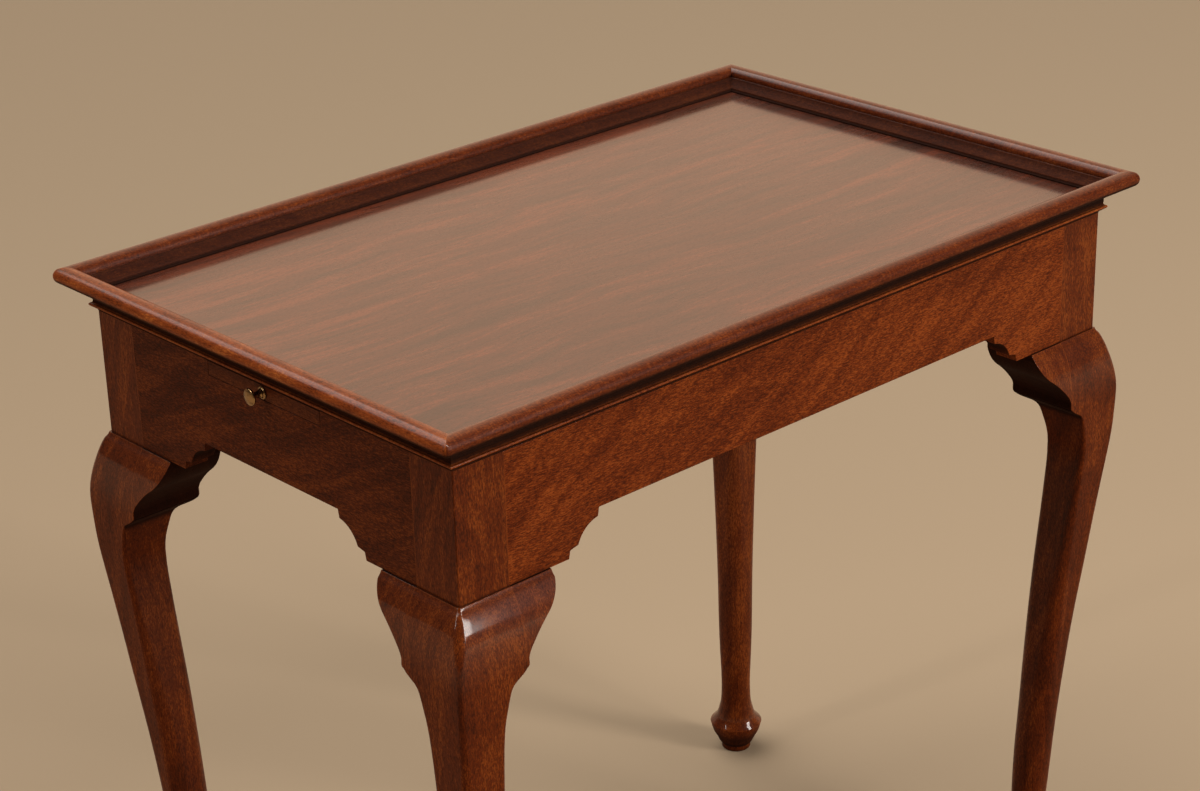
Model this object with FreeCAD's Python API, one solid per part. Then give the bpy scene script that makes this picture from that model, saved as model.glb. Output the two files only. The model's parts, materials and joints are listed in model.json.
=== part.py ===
import FreeCAD, Part
import math
import os

# A rectangular tea table with a tray top: a sunk panel inside four mitred rim
# mouldings, a thin lip moulding under the rim, a framed apron on four cabriole
# legs with pad feet, a shaped bracket either side of every knee, and a narrow
# candle slide that pulls out of each end on two runners.
# Millimetres. Z is up, the floor is Z = 0, the length lies along X, and the
# origin is under the middle of the table.

Vector = FreeCAD.Vector
UP = Vector(0, 0, 1)

# Tray and frame
tray_length = 724.0
tray_width = 458.0
table_height = 682.9
apron_inset = 23.3
panel_drop = 16.8
panel_thickness = 17.6
rim_width = 28.5

# Rim moulding: a full bullnose outside, a ledge and a cove inside
nose_half_width = 8.6
nose_half_height = 6.8
quirk_depth = 0.9
ledge_width = 1.8
cove_foot_inset = 1.2
cove_foot_rise = 3.2
cove_sag = 1.3
rim_foot_rise = 1.0
rim_foot_sag = 0.35
neck_inset = 20.8
neck_height = 3.2
under_cove_start = 1.2
under_cove_sag = 1.4

# Lip moulding between the rim and the apron
lip_height = 9.1
lip_overhang = 4.8
lip_tip_height = 5.1
lip_nose_radius = 1.1
lip_nose_bulge = 0.6
lip_hollow_sag = 0.9
lip_foot_height = 0.9

# Apron rails
apron_depth = 99.3
arch_rise = 29.5
rail_thickness = 20.0
scroll_flat_end = 98.6
scroll_step = 6.0
scroll_ledge_end = 107.5
scroll_ledge_rise = 1.7
scroll_end = 127.6
scroll_top_step = 6.6
scroll_lean = 1.3
scroll_cove_sag = 3.4

# Joints between rails and stiles
tenon_thickness = 8.0
tenon_inset = 6.0
tenon_shoulder = 12.0
tenon_end_gap = 6.0

# Legs
stile_side = 44.0
knee_projection = 16.3
knee_fullness = 0.70
knee_edge = 1.5
knee_corner_top = 1.8
knee_corner_low = 3.6
knee_corner_swell = 3.8
knee_corner_rise = 0.70
knee_side_corner = 1.8
knee_spare = 8.0
stile_corner = 1.0
bracket_drop = 56.0
bracket_reach = 36.8
bracket_foot_reach = 1.5
ankle_height = 73.0
ankle_diameter = 27.0
ankle_inset = 25.6
foot_diameter = 49.6
foot_edge_height = 29.0
foot_inset = 19.8
foot_edge_band = 1.6
foot_edge_taper = 0.2
foot_under_sag = 0.8
pad_setback = 0.1
pad_diameter = 28.4
pad_height = 5.9
pad_neck = 0.5
pad_neck_sag = 0.4
pad_taper = 0.2
pad_ease = 0.8

# Candle slides, their runners and the brace that stops them
slide_width = 130.0
slide_thickness = 11.0
slide_clearance = 0.3
slide_travel = 250.0
slide_facing_depth = 12.0
runner_wall = 18.0
runner_ledge = 9.0
runner_ledge_thickness = 10.0
centre_brace_thickness = 20.0
centre_brace_depth = 52.0
stop_depth = 16.0
stop_height = 14.0
stop_side_gap = 11.0

# Corner braces, which clear the inner corner of the stile by a small gap
corner_brace_gap = 0.5
corner_brace_width = 20.0
corner_brace_height = 22.0
top_screw_aside = 22.0

# Knobs and screws
knob_projection = 13.0
knob_head_diameter = 12.8
knob_head_thickness = 3.4
knob_crown_diameter = 2.4
knob_collar_diameter = 9.2
knob_collar_thickness = 1.6
knob_neck_diameter = 4.8
knob_neck_swell = 0.8
knob_cove_sag = 0.5
knob_waist_sag = 0.35
knob_edge_round = 0.9
knob_edge_sag = 0.3
knob_crown_sag = 0.2
knob_stud_diameter = 3.2
knob_stud_in_knob = 6.0
knob_stud_in_wood = 17.0
screw_diameter = 4.0
screw_head_diameter = 8.0
screw_head_height = 2.6
screw_point = 2.5
screw_slot_width = 1.0
screw_slot_depth = 1.0
screw_bite = 9.0
screw_play = 0.05
brace_screw_bite = 18.0
stop_screw_cover = 2.0
hole_end_room = 0.2

# How far a cutting shape runs past what it cuts
cut_spare = 2.0

# Levels and places that follow from the sizes above
nose_level = table_height - nose_half_height
panel_top = table_height - panel_drop
frame_top = panel_top - panel_thickness
apron_bottom = frame_top - apron_depth
arch_level = apron_bottom + arch_rise
rim_bottom = frame_top + lip_height
frame_length = tray_length - 2 * apron_inset
frame_width = tray_width - 2 * apron_inset
slide_top = frame_top - slide_clearance
slide_bottom = slide_top - slide_thickness
runner_level = slide_bottom - slide_clearance
slide_inner_end = centre_brace_thickness / 2 + slide_clearance
corner_brace_near = 2 * stile_side + corner_brace_gap * math.sqrt(2)
corner_brace_far = corner_brace_near + corner_brace_width * math.sqrt(2)

pieces = {}


def keep(name, shape):
    """Stores one finished piece under its node name."""
    pieces[name] = shape


def box(low, high):
    """A block between two corners."""
    low = Vector(*low)
    size = Vector(*high) - low
    return Part.makeBox(size.x, size.y, size.z, low)


def polygon_face(points):
    """A flat face whose outline is straight between the given points."""
    ring = [Vector(*p) for p in points]
    return Part.Face(Part.makePolygon(ring + ring[:1]))


def sagged_arc(start, end, sag):
    """An arc from start to end whose middle lies sag to the left of the chord,
    in the plane of the first two coordinates of a profile."""
    mid_a = (start[0] + end[0]) / 2
    mid_b = (start[1] + end[1]) / 2
    run_a = end[0] - start[0]
    run_b = end[1] - start[1]
    chord = math.hypot(run_a, run_b)
    return (mid_a - sag * run_b / chord, mid_b + sag * run_a / chord)


def profile_edges(steps, place):
    """Edges through a list of steps. A step is a point (a, b), or a point with a
    sag (a, b, sag) that is reached by an arc. place turns (a, b) into a point."""
    edges = []
    here = steps[0][:2]
    for step in steps[1:]:
        there = step[:2]
        if len(step) == 3:
            middle = sagged_arc(here, there, step[2])
            edges.append(Part.Arc(place(*here), place(*middle), place(*there)).toShape())
        else:
            edges.append(Part.LineSegment(place(*here), place(*there)).toShape())
        here = there
    return edges


def turned(shape, quarter_turns):
    """A copy turned about the table's own vertical axis."""
    copy = shape.copy()
    copy.rotate(Vector(0, 0, 0), UP, 90.0 * quarter_turns)
    return copy


# Each name stands a quarter turn after the one before it
SIDES = ("front", "right", "back", "left")
CORNERS = ("front_left", "front_right", "back_right", "back_left")
LONG_SIDES = ("front", "back")


def side_sizes(side, length, width):
    """How long a side is and how far it lies from the middle."""
    if side in LONG_SIDES:
        return length, width / 2
    return width, length / 2


# ---------------------------------------------------------------- mouldings

def mitred(face_edges, length, reach):
    """Extrudes a closed section along X and mitres both ends at 45 degrees."""
    face = Part.Face(Part.Wire(face_edges))
    bar = face.extrude(Vector(length, 0, 0))
    depth = rim_width + cut_spare
    low = frame_top - cut_spare
    blank = polygon_face([
        (-length / 2, -reach, low),
        (length / 2, -reach, low),
        (length / 2 - depth, -reach + depth, low),
        (-length / 2 + depth, -reach + depth, low),
    ]).extrude(Vector(0, 0, table_height + cut_spare - low))
    return bar.common(blank)


def rim_section(place):
    """Section of the rim: inset from the outer edge, height above the floor."""
    centre = place(nose_half_width, nose_level)
    widest = place(0, nose_level)
    crest = place(nose_half_width, nose_level + nose_half_height)
    if nose_half_width >= nose_half_height:
        ellipse = Part.Ellipse(widest, crest, centre)
    else:
        ellipse = Part.Ellipse(crest, widest, centre)
    quirk = (2 * nose_half_width, nose_level)
    under = (nose_half_width + under_cove_start,
             nose_level - nose_half_height * math.sqrt(1 - (under_cove_start / nose_half_width) ** 2))
    first = ellipse.parameter(place(*quirk))
    last = ellipse.parameter(place(*under))
    nose = ellipse_arc(ellipse, first, last, crest)
    ledge = (2 * nose_half_width, nose_level - quirk_depth)
    cove_top = (ledge[0] + ledge_width, ledge[1])
    cove_foot = (rim_width - cove_foot_inset, panel_top + cove_foot_rise)
    steps = [
        under,
        (neck_inset, rim_bottom + neck_height, under_cove_sag),
        (neck_inset, rim_bottom),
        (rim_width, rim_bottom),
        (rim_width, panel_top + rim_foot_rise),
        cove_foot + (rim_foot_sag,),
        cove_top + (cove_sag,),
        ledge,
        quirk,
    ]
    return profile_edges(steps, place) + [nose]


def ellipse_arc(ellipse, first, last, through):
    """The arc of an ellipse between two parameters that passes nearest a point."""
    options = [ellipse.toShape(first, last) if first < last else ellipse.toShape(first, last + 2 * math.pi),
               ellipse.toShape(last, first) if last < first else ellipse.toShape(last, first + 2 * math.pi)]
    vertex = Part.Vertex(through)
    return min(options, key=lambda arc: arc.distToShape(vertex)[0])


def lip_section(place):
    """Section of the lip: a hollow top that runs out to a small rounded nose."""
    nose_back = apron_inset - lip_overhang + lip_nose_bulge
    tip = frame_top + lip_tip_height
    steps = [
        (rim_width, frame_top),
        (rim_width, rim_bottom),
        (neck_inset, rim_bottom),
        (nose_back, tip + lip_nose_radius, lip_hollow_sag),
        (nose_back, tip - lip_nose_radius, -lip_nose_bulge),
        (apron_inset, frame_top + lip_foot_height),
        (apron_inset, frame_top),
        (rim_width, frame_top),
    ]
    return profile_edges(steps, place)


def make_mouldings():
    for turns, side in enumerate(SIDES):
        length, reach = side_sizes(side, tray_length, tray_width)

        def place(inset, height):
            return Vector(-length / 2, -reach + inset, height)

        keep("tray_rim_" + side, turned(mitred(rim_section(place), length, reach), turns))
        keep("lip_moulding_" + side, turned(mitred(lip_section(place), length, reach), turns))


def make_panel():
    half_length = tray_length / 2 - rim_width
    half_width = tray_width / 2 - rim_width
    panel = box((-half_length, -half_width, frame_top), (half_length, half_width, panel_top))
    for hole in panel_screw_holes():
        panel = panel.cut(hole)
    keep("top_panel", panel)


# -------------------------------------------------------------------- rails

def scroll_outline(half):
    """Lower edge of a rail from the stile to the start of its straight part,
    as (distance from the apron's corner, height) steps."""
    step_top = apron_bottom + scroll_step
    ledge = (scroll_ledge_end, step_top + scroll_ledge_rise)
    cove_end = (scroll_end - scroll_lean, arch_level - scroll_top_step)
    outline = [
        (stile_side, apron_bottom),
        (scroll_flat_end, apron_bottom),
        (scroll_flat_end + scroll_lean, step_top),
        ledge,
        cove_end + (scroll_cove_sag,),
        (scroll_end, arch_level),
    ]
    return [(step[0] - half,) + step[1:] for step in outline]


def mirrored_steps(steps):
    """The same outline walked back on the other side of the middle."""
    flipped = []
    for index in range(len(steps) - 1, -1, -1):
        point = (-steps[index][0], steps[index][1])
        if index + 1 < len(steps) and len(steps[index + 1]) == 3:
            point += (steps[index + 1][2],)
        flipped.append(point)
    return flipped


def tenon_length():
    return stile_side - tenon_inset - tenon_thickness - tenon_end_gap


def tenon(half, reach, extra=0.0):
    """One tenon at the -X end of a rail that lies along X."""
    end = -half + stile_side
    return box(
        (end - tenon_length(), -reach + tenon_inset, apron_bottom + tenon_shoulder),
        (end + extra, -reach + tenon_inset + tenon_thickness, frame_top - tenon_shoulder))


def make_rails():
    for turns, side in enumerate(SIDES):
        length, reach = side_sizes(side, frame_length, frame_width)
        half = length / 2

        def place(along, height):
            return Vector(along, -reach, height)

        left = scroll_outline(half)
        steps = left + mirrored_steps(left)
        steps += [(half - stile_side, frame_top), (-half + stile_side, frame_top), steps[0]]
        face = Part.Face(Part.Wire(profile_edges(steps, place)))
        rail = face.extrude(Vector(0, rail_thickness, 0))
        first = tenon(half, reach, cut_spare)
        second = first.mirror(Vector(0, 0, 0), Vector(1, 0, 0))
        rail = rail.fuse([first, second]).removeSplitter()
        if side not in LONG_SIDES:
            notch = slide_width / 2 + slide_clearance
            rail = rail.cut(box(
                (-notch, -reach - cut_spare, runner_level),
                (notch, -reach + rail_thickness + cut_spare, frame_top + cut_spare)))
        keep("rail_" + side, turned(rail, turns))


# --------------------------------------------------------------------- legs
# A leg is drawn in its corner: u and v run inwards from the two apron faces.

def rounded_square(height, front, back, arris, side):
    """A level square from -front to back in u and v. Its corners are rounded,
    the outer one by the arris radius and the other three by the side radius."""
    low = -front
    high = back
    corners = [(low, low, 1, 1, arris), (high, low, -1, 1, side), (high, high, -1, -1, side),
               (low, high, 1, -1, side)]
    edges = []
    ends = []
    for index, (u, v, du, dv, radius) in enumerate(corners):
        cut = radius * (1 - math.sqrt(0.5))
        along_u = Vector(u + du * radius, v, height)
        along_v = Vector(u, v + dv * radius, height)
        middle = Vector(u + du * cut, v + dv * cut, height)
        pair = (along_v, along_u) if index % 2 == 0 else (along_u, along_v)
        ends.append((pair[0], middle, pair[1]))
    for index, (start, middle, end) in enumerate(ends):
        edges.append(Part.Arc(start, middle, end).toShape())
        edges.append(Part.LineSegment(end, ends[(index + 1) % 4][0]).toShape())
    return Part.Wire(edges)


# Stations of the knee: shares of the brackets' drop, and of the spare wood that
# is left inside for cutting flush. They draw together towards both ends, because
# a loft wavers where the steps between them jump.
KNEE_STATIONS = (
    (0.0, 1.0), (0.025, 1.0), (0.07, 1.0), (0.13, 1.0), (0.205, 1.0), (0.30, 1.0), (0.41, 1.0),
    (0.53, 1.0), (0.65, 1.0), (0.76, 1.0), (0.86, 0.85), (0.94, 0.5), (1.0, 0.08),
)

# Stations of the shank: shares of the way down to the ankle, of the front's
# swing back and of the thickness that it loses, and the radii of the outer
# arris and of the other corners as shares of the thickness
SHANK_STATIONS = (
    (0.006, 0.998, 0.939, 0.062, 0.030),
    (0.014, 0.996, 0.770, 0.070, 0.036),
    (0.023, 0.993, 0.622, 0.078, 0.042),
    (0.033, 0.989, 0.551, 0.084, 0.047),
    (0.048, 0.983, 0.497, 0.092, 0.055),
    (0.078, 0.964, 0.403, 0.106, 0.072),
    (0.135, 0.895, 0.318, 0.132, 0.102),
    (0.190, 0.816, 0.288, 0.157, 0.130),
    (0.250, 0.734, 0.269, 0.187, 0.167),
    (0.370, 0.584, 0.251, 0.254, 0.245),
    (0.495, 0.427, 0.212, 0.334, 0.330),
    (0.620, 0.301, 0.182, 0.411, 0.411),
    (0.720, 0.217, 0.167, 0.470, 0.470),
    (0.820, 0.133, 0.134, 0.470, 0.470),
    (0.920, 0.045, 0.063, 0.470, 0.470),
)


def knee_level(share):
    """The height of a knee station."""
    return apron_bottom - share * bracket_drop


def knee_front(share):
    """How far the knee stands out at a share of the bracket's drop."""
    return max(knee_edge, knee_projection * (1 - (1 - share) ** 2) ** knee_fullness)


def knee_arris(share):
    """The radius of the knee's arris, which is crisp at both ends of the knee and
    broad where it stands out."""
    swell = math.sin(math.pi * share ** knee_corner_rise) ** 2
    return knee_corner_top + share * (knee_corner_low - knee_corner_top) + swell * knee_corner_swell


def shank_level(down):
    """The height of a shank station."""
    return knee_level(1.0) - down * (knee_level(1.0) - ankle_height)


def shank_front(forward):
    """How far the shank stands out at a share of its swing back."""
    ankle_front = ankle_diameter / 2 - ankle_inset
    return ankle_front + forward * (knee_projection - ankle_front)


def knee_sections():
    """Rounded squares of the knee, from under the apron to the brackets' foot.
    Above the foot they run past the stile's inner faces, to be cut flush."""
    wires = []
    for share, spare in KNEE_STATIONS:
        back = stile_side + spare * knee_spare
        wires.append(rounded_square(knee_level(share), knee_front(share), back,
                                    knee_arris(share), knee_side_corner))
    return wires


def shank_sections():
    """Rounded squares of the leg from under the knee down to the ankle."""
    extra = knee_projection + stile_side - ankle_diameter
    wires = []
    for down, forward, thicker, arris, side in SHANK_STATIONS:
        front = shank_front(forward)
        thickness = ankle_diameter + thicker * extra
        wires.append(rounded_square(shank_level(down), front, thickness - front,
                                    arris * thickness, side * thickness))
    return wires


def flare_sections():
    """Nearly round sections from the ankle down to the foot's edge, whose middle
    moves out from over the ankle to over the foot."""
    rise = ankle_height - foot_edge_height
    reach = foot_inset - ankle_inset
    waist = ankle_diameter / 2
    spread = foot_diameter / 2 - waist
    # shares of the drop, the spread and the shift, and the roundness
    stations = (
        (0.00, 0.00, 0.00, 0.470),
        (0.27, 0.03, 0.14, 0.470),
        (0.44, 0.09, 0.30, 0.472),
        (0.58, 0.21, 0.47, 0.475),
        (0.80, 0.45, 0.76, 0.480),
        (0.93, 0.80, 0.93, 0.485),
        (1.00, 1.00, 1.00, 0.485),
    )
    wires = []
    for drop, out, shift, roundness in stations:
        half = waist + out * spread
        middle = ankle_inset + shift * reach
        radius = 2 * half * roundness
        level = ankle_height - drop * rise
        wires.append(rounded_square(level, half - middle, half + middle, radius, radius))
    return wires


def make_pad():
    """The underside of the foot and the small disc that it stands on."""
    edge = foot_diameter / 2 - pad_setback
    disc = pad_diameter / 2
    under = foot_edge_height - pad_height
    steps = [
        (0, foot_edge_height),
        (edge, foot_edge_height),
        (edge - foot_edge_taper, foot_edge_height - foot_edge_band),
        (disc + 0.46 * (edge - disc), pad_height + 0.34 * under, foot_under_sag),
        (disc + pad_neck, pad_height, pad_neck_sag),
        (disc, pad_height),
        (disc - pad_taper, pad_ease),
        (disc - pad_taper - pad_ease, 0),
        (0, 0),
        (0, foot_edge_height),
    ]
    section = Part.Face(Part.Wire(profile_edges(steps, lambda r, z: Vector(foot_inset + r, foot_inset, z))))
    return section.revolve(Vector(foot_inset, foot_inset, 0), UP, 360)


def is_outer_arris(edge):
    """True for the upright edge of a stile at the frame's own corner."""
    span = edge.BoundBox
    tiny = 0.01
    return span.XLength < tiny and span.YLength < tiny and span.XMin < tiny and span.YMin < tiny


def make_leg():
    """One leg in its corner: stile, knee, shank and pad foot in one piece. The
    brackets meet flat faces, cut in line with the stile above their foot."""
    limb = Part.makeLoft(knee_sections() + shank_sections() + flare_sections(), True, False)
    near = -2 * knee_projection
    far = stile_side + 2 * knee_spare
    foot = knee_level(1.0)
    limb = limb.cut([
        box((stile_side, near, foot), (far, far, apron_bottom + cut_spare)),
        box((near, stile_side, foot), (far, far, apron_bottom + cut_spare)),
    ])
    stile = box((0, 0, apron_bottom), (stile_side, stile_side, frame_top))
    stile = stile.makeFillet(stile_corner, [edge for edge in stile.Edges if is_outer_arris(edge)])
    return stile.fuse([limb, make_pad()]).removeSplitter()


def bracket_outline():
    """Outline of a knee bracket: distance from the apron's corner, height."""
    tip = stile_side + bracket_reach
    foot = stile_side + bracket_foot_reach

    def out(share):
        return foot + share * (tip - foot)

    return [
        (stile_side, knee_level(0)),
        (tip, knee_level(0)),
        (tip, knee_level(0.09)),
        (out(0.62), knee_level(0.44), 1.9),
        (out(0.14), knee_level(0.727), -0.7),
        (foot, knee_level(0.87), -0.5),
        (foot, knee_level(0.97)),
        (stile_side, knee_level(1.0)),
        (stile_side, knee_level(0)),
    ]


def make_bracket():
    """A knee bracket on the u side of a corner: its outline is cut from a blank
    whose face carries the leg's own line on, flush with the leg."""
    face = [Vector(stile_side, -knee_front(share), knee_level(share)) for share, spare in KNEE_STATIONS]
    face += [Vector(stile_side, -shank_front(forward), shank_level(down))
             for down, forward, *_ in SHANK_STATIONS[:5]]
    curve = Part.BSplineCurve()
    curve.interpolate(face)
    back_top = Vector(stile_side, stile_side, face[0].z)
    back_low = Vector(stile_side, stile_side, face[-1].z)
    section = Part.Face(Part.Wire([
        curve.toShape(),
        Part.LineSegment(face[-1], back_low).toShape(),
        Part.LineSegment(back_low, back_top).toShape(),
        Part.LineSegment(back_top, face[0]).toShape(),
    ]))
    blank = section.extrude(Vector(bracket_reach, 0, 0))
    depth = 2 * knee_projection
    outline = Part.Face(Part.Wire(profile_edges(bracket_outline(), lambda a, b: Vector(a, -depth, b))))
    return blank.common(outline.extrude(Vector(0, depth + stile_side, 0)))


def to_corner(shape, corner):
    """Moves a shape from its corner drawing to one corner of the frame."""
    turns = CORNERS.index(corner)
    length, reach = side_sizes(SIDES[turns], frame_length, frame_width)
    copy = shape.copy()
    copy.translate(Vector(-length / 2, -reach, 0))
    return turned(copy, turns)


def make_legs_and_brackets():
    leg = make_leg()
    bracket = make_bracket()
    other = bracket.mirror(Vector(0, 0, 0), Vector(1, -1, 0))
    for turns, corner in enumerate(CORNERS):
        side = SIDES[turns]
        length, reach = side_sizes(side, frame_length, frame_width)
        first = tenon(length / 2, reach)
        width, across = side_sizes(SIDES[turns - 1], frame_length, frame_width)
        second = turned(tenon(width / 2, across).mirror(Vector(0, 0, 0), Vector(1, 0, 0)), -1)
        mortises = [turned(first, turns), turned(second, turns)]
        keep("leg_" + corner, to_corner(leg, corner).cut(mortises + [brace_screw_hole(corner)]))
        names = ("long", "end") if side in LONG_SIDES else ("end", "long")
        keep("knee_bracket_%s_%s" % (corner, names[0]), to_corner(bracket, corner))
        keep("knee_bracket_%s_%s" % (corner, names[1]), to_corner(other, corner))


# ------------------------------------------------------------------- screws

def screw(head, direction, length, play=0.0):
    """A countersunk wood screw from its head's face, or its hole with play."""
    radius = screw_diameter / 2 + play
    wide = screw_head_diameter / 2 + play
    steps = [
        (0, 0),
        (wide, 0),
        (radius, -screw_head_height),
        (radius, -length + screw_point),
        (0, -length),
        (0, 0),
    ]
    section = Part.Face(Part.Wire(profile_edges(steps, lambda r, z: Vector(r, 0, z))))
    solid = section.revolve(Vector(0, 0, 0), UP, 360)
    if play == 0.0:
        half_slot = screw_slot_width / 2
        solid = solid.cut(box((-wide, -half_slot, -screw_slot_depth), (wide, half_slot, cut_spare)))
    solid.Placement = FreeCAD.Placement(head, FreeCAD.Rotation(Vector(0, 0, -1), direction))
    return solid


def corner_screw_places():
    """Head places of the four screws that hold the top, one in each brace."""
    middle = (corner_brace_near + corner_brace_far) / 4
    aside = top_screw_aside * math.sqrt(0.5)
    x = frame_length / 2 - middle - aside
    y = frame_width / 2 - middle + aside
    level = frame_top - corner_brace_height
    return [Vector(sx * x, sy * y, level) for sx in (-1, 1) for sy in (-1, 1)]


def corner_screws(play=0.0):
    length = corner_brace_height + screw_bite
    return [screw(place, UP, length + play, play) for place in corner_screw_places()]


def runner_screw_places():
    """Head places of the screws that hold the runners up to the panel."""
    y = slide_width / 2 + slide_clearance + runner_wall / 2
    inner = centre_brace_thickness / 2
    outer = frame_length / 2 - rail_thickness
    level = runner_level - runner_ledge_thickness
    return [Vector(sx * (inner + share * (outer - inner)), sy * y, level)
            for sx in (-1, 1) for sy in (-1, 1) for share in (0.2, 0.8)]


def runner_screws(play=0.0):
    length = frame_top - runner_level + runner_ledge_thickness + screw_bite
    return [screw(place, UP, length + play, play) for place in runner_screw_places()]


def panel_screw_holes():
    return corner_screws(screw_play) + runner_screws(screw_play)


def brace_screw(corner, play=0.0):
    """A screw through one corner brace into the inner corner of its stile."""
    middle = corner_brace_far / 2
    head = Vector(middle, middle, frame_top - corner_brace_height / 2)
    length = corner_brace_width + corner_brace_gap + brace_screw_bite
    return to_corner(screw(head, Vector(-1, -1, 0), length + play, play), corner)


def brace_screw_hole(corner):
    return brace_screw(corner, screw_play)


def make_screws():
    keep("top_screws", Part.makeCompound(corner_screws()))
    keep("runner_screws", Part.makeCompound(runner_screws()))
    keep("brace_screws", Part.makeCompound([brace_screw(corner) for corner in CORNERS]))


# ------------------------------------------------------- braces and runners

def make_corner_braces():
    """A diagonal brace from rail to rail inside each corner of the frame."""
    low = frame_top - corner_brace_height
    wall = rail_thickness
    near = corner_brace_near - wall
    far = corner_brace_far - wall
    outline = [(wall, near, low), (near, wall, low), (far, wall, low), (wall, far, low)]
    brace = polygon_face(outline).extrude(Vector(0, 0, corner_brace_height))
    for corner in CORNERS:
        whole = to_corner(brace, corner).cut([brace_screw_hole(corner)] + corner_screws(screw_play))
        keep("corner_brace_" + corner, whole)


def make_centre_brace():
    half = frame_width / 2 - rail_thickness
    thick = centre_brace_thickness / 2
    keep("centre_brace", box((-thick, -half, frame_top - centre_brace_depth), (thick, half, frame_top)))


def make_runners():
    """Four runners: a wall beside each slide and a ledge under its edge."""
    inner = centre_brace_thickness / 2
    outer = frame_length / 2 - rail_thickness
    side = slide_width / 2 + slide_clearance
    low = runner_level - runner_ledge_thickness
    section = polygon_face([
        (inner, side - runner_ledge, low),
        (inner, side + runner_wall, low),
        (inner, side + runner_wall, frame_top),
        (inner, side, frame_top),
        (inner, side, runner_level),
        (inner, side - runner_ledge, runner_level),
    ])
    runner = section.extrude(Vector(outer - inner, 0, 0))
    flip_x = (Vector(0, 0, 0), Vector(1, 0, 0))
    flip_y = (Vector(0, 0, 0), Vector(0, 1, 0))
    holes = runner_screws(screw_play)
    keep("slide_runner_right_back", runner.cut(holes))
    keep("slide_runner_right_front", runner.mirror(*flip_y).cut(holes))
    keep("slide_runner_left_back", runner.mirror(*flip_x).cut(holes))
    keep("slide_runner_left_front", runner.mirror(*flip_x).mirror(*flip_y).cut(holes))


# ------------------------------------------------------------ candle slides

def knob_section():
    """Outline of a knob, from the slide's face outwards, as (radius, reach)."""
    head = knob_head_diameter / 2
    collar = knob_collar_diameter / 2
    neck = knob_neck_diameter / 2
    stud = knob_stud_diameter / 2 + screw_play
    head_back = knob_projection - knob_head_thickness
    neck_low = 1.6 * knob_collar_thickness
    back_slope = knob_edge_round / 2
    return [
        (stud, 0),
        (collar, 0),
        (collar, 0.5 * knob_collar_thickness),
        (neck + knob_neck_swell, neck_low, knob_cove_sag),
        (neck, (neck_low + head_back) / 2, knob_waist_sag),
        (neck + knob_neck_swell, head_back, knob_cove_sag),
        (head - knob_edge_round, head_back + back_slope),
        (head, head_back + back_slope + knob_edge_round, -knob_edge_sag),
        (head - knob_edge_round, knob_projection - knob_edge_round, -knob_edge_sag),
        (knob_crown_diameter / 2, knob_projection, -knob_crown_sag),
        (0, knob_projection),
        (0, knob_stud_in_knob + hole_end_room),
        (stud, knob_stud_in_knob + hole_end_room),
        (stud, 0),
    ]


def make_right_slide():
    """The slide of the +X end, as a dictionary of its pieces."""
    face_x = frame_length / 2
    half = slide_width / 2
    middle = (slide_top + slide_bottom) / 2
    facing = box((face_x - slide_facing_depth, -half, slide_bottom), (face_x, half, slide_top))
    board = box((slide_inner_end, -half, slide_bottom), (face_x - slide_facing_depth, half, slide_top))
    hole_depth = knob_stud_in_wood + hole_end_room
    stud_hole = Part.makeCylinder(
        knob_stud_diameter / 2 + screw_play, hole_depth,
        Vector(face_x - hole_depth, 0, middle), Vector(1, 0, 0))
    stud = Part.makeCylinder(
        knob_stud_diameter / 2, knob_stud_in_wood + knob_stud_in_knob,
        Vector(face_x - knob_stud_in_wood, 0, middle), Vector(1, 0, 0))
    section = Part.Face(Part.Wire(profile_edges(
        knob_section(), lambda r, reach: Vector(face_x + reach, 0, middle + r))))
    knob = section.revolve(Vector(face_x, 0, middle), Vector(1, 0, 0), 360)
    stop_face = frame_length / 2 - rail_thickness - slide_travel - slide_clearance
    stop_half = half - runner_ledge - stop_side_gap
    stop = box((stop_face - stop_depth, -stop_half, slide_bottom - stop_height),
               (stop_face, stop_half, slide_bottom))
    head = Vector(stop_face - stop_depth / 2, 0, slide_bottom - stop_height)
    length = stop_height + slide_thickness - stop_screw_cover
    stop_screw = screw(head, UP, length)
    stop_hole = screw(head, UP, length + screw_play, screw_play)
    return {
        "slide_board": board.cut([stud_hole, stop_hole]),
        "slide_facing": facing.cut(stud_hole),
        "slide_stop": stop.cut(stop_hole),
        "stop_screw": stop_screw,
        "knob": knob,
        "knob_stud": stud,
    }


def make_slides():
    for name, shape in make_right_slide().items():
        keep(name + "_right", shape)
        keep(name + "_left", turned(shape, 2))


make_mouldings()
make_panel()
make_rails()
make_legs_and_brackets()
make_corner_braces()
make_centre_brace()
make_runners()
make_slides()
make_screws()

os.makedirs("parts", exist_ok=True)
for name, shape in pieces.items():
    shape.exportStep("parts/%s.step" % name)
    box_now = shape.BoundBox
    print("%-34s solids %2d valid %s volume %10.1f z %.2f..%.2f" % (
        name, len(shape.Solids), shape.isValid(), shape.Volume, box_now.ZMin, box_now.ZMax))
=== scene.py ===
import json
import math

import bmesh
import bpy
from mathutils import Euler, Matrix, Vector
from mathutils.bvhtree import BVHTree


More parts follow.
